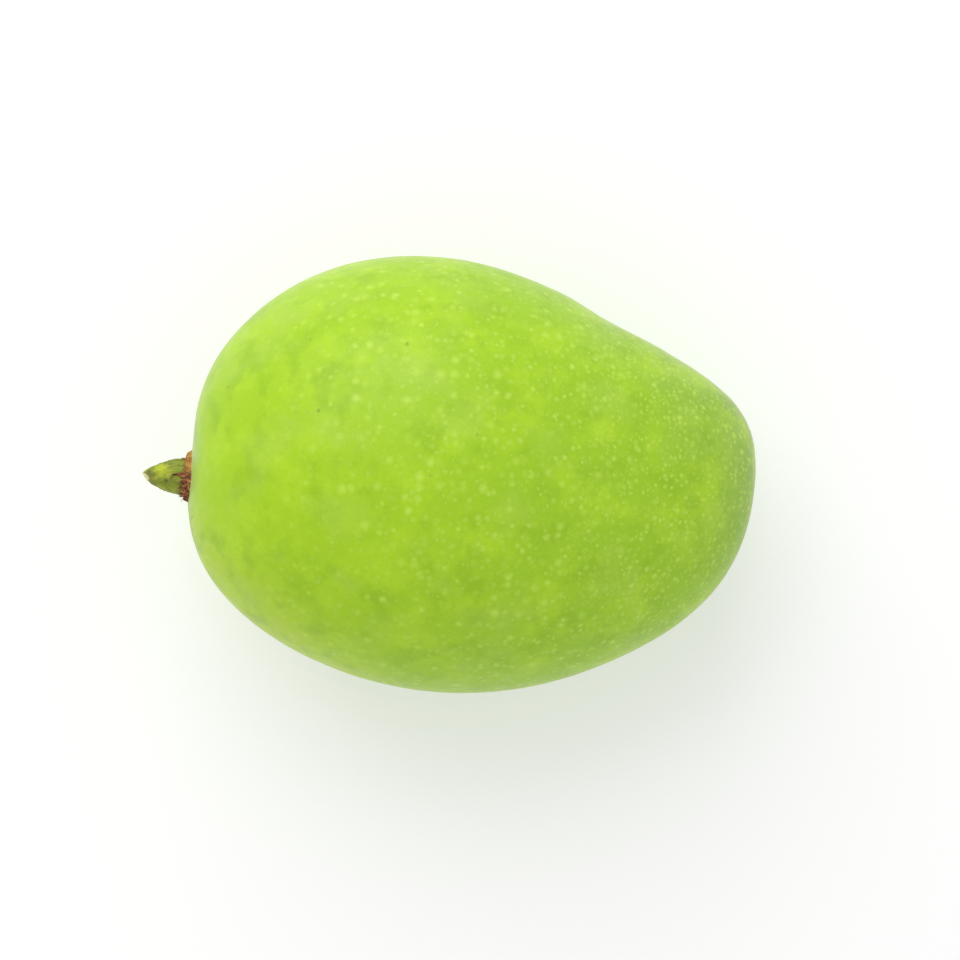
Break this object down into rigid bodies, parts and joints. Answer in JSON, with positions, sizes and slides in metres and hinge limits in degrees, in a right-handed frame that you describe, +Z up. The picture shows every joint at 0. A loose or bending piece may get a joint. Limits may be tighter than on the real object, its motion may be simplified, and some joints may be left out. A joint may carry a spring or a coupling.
{
  "type": "mango",
  "caption": "Whole green mango, oval with a slanting shoulder and a blunt nose, lying on its cheek, with a short stalk stub in a torn corky collar.",
  "frame": {"origin": "on the surface that the fruit lies on, under the middle of the whole outline", "axes": "+X along the fruit from the stalk to the nose, +Y across it towards the back, where the shoulder slants to the nose, +Z up through the cheeks"},
  "size_m": [0.1204, 0.086, 0.0698],
  "materials": {
    "skin": "smooth waxy yellow-green rind with pale pores, satin sheen",
    "stalk": "green living stalk, matt, mottled yellow and olive",
    "cork": "dry torn cork, matt, orange-brown to dark red-brown"
  },
  "bodies": {
    "root": {"fruit": "skin", "stalk_stub": "stalk", "stalk_collar": "cork"}
  },
  "joints": []
}
